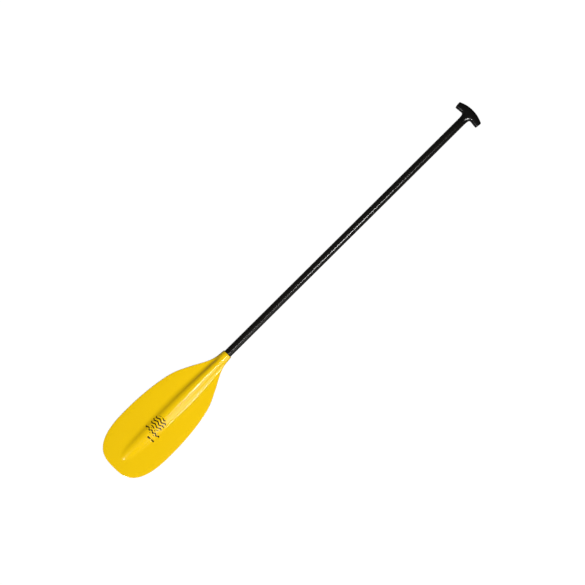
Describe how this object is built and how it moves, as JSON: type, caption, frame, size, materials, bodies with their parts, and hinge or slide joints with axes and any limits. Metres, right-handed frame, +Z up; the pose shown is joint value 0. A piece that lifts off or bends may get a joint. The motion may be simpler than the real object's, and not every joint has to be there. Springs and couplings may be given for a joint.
{
  "type": "canoe paddle",
  "caption": "Single-bladed paddle: black tube shaft, moulded T-grip, and a broad yellow laminated blade with a long half-round spine along the middle of each face.",
  "frame": {"origin": "middle of the paddle's box, on the surface it lies on", "axes": "+X along the shaft from the blade's tip to the T-grip, +Y across the blade and the crossbar, +Z up, square to the blade's flats"},
  "size_m": [1.676, 0.212, 0.034],
  "materials": {
    "blade_laminate": "glossy pigmented resin laminate",
    "wound_tube": "semi-gloss filament-wound tube",
    "grip_plastic": "semi-gloss moulded plastic",
    "foam": "closed-cell foam",
    "resin": "cured thickened resin"
  },
  "bodies": {
    "root": {"blade_front_skin": "blade_laminate", "blade_back_skin": "blade_laminate", "spine_core": "foam", "shaft_tube": "wound_tube", "lower_plug": "foam", "upper_plug": "foam", "blade_bond": "resin", "grip_bond": "resin", "t_grip": "grip_plastic"}
  },
  "joints": []
}
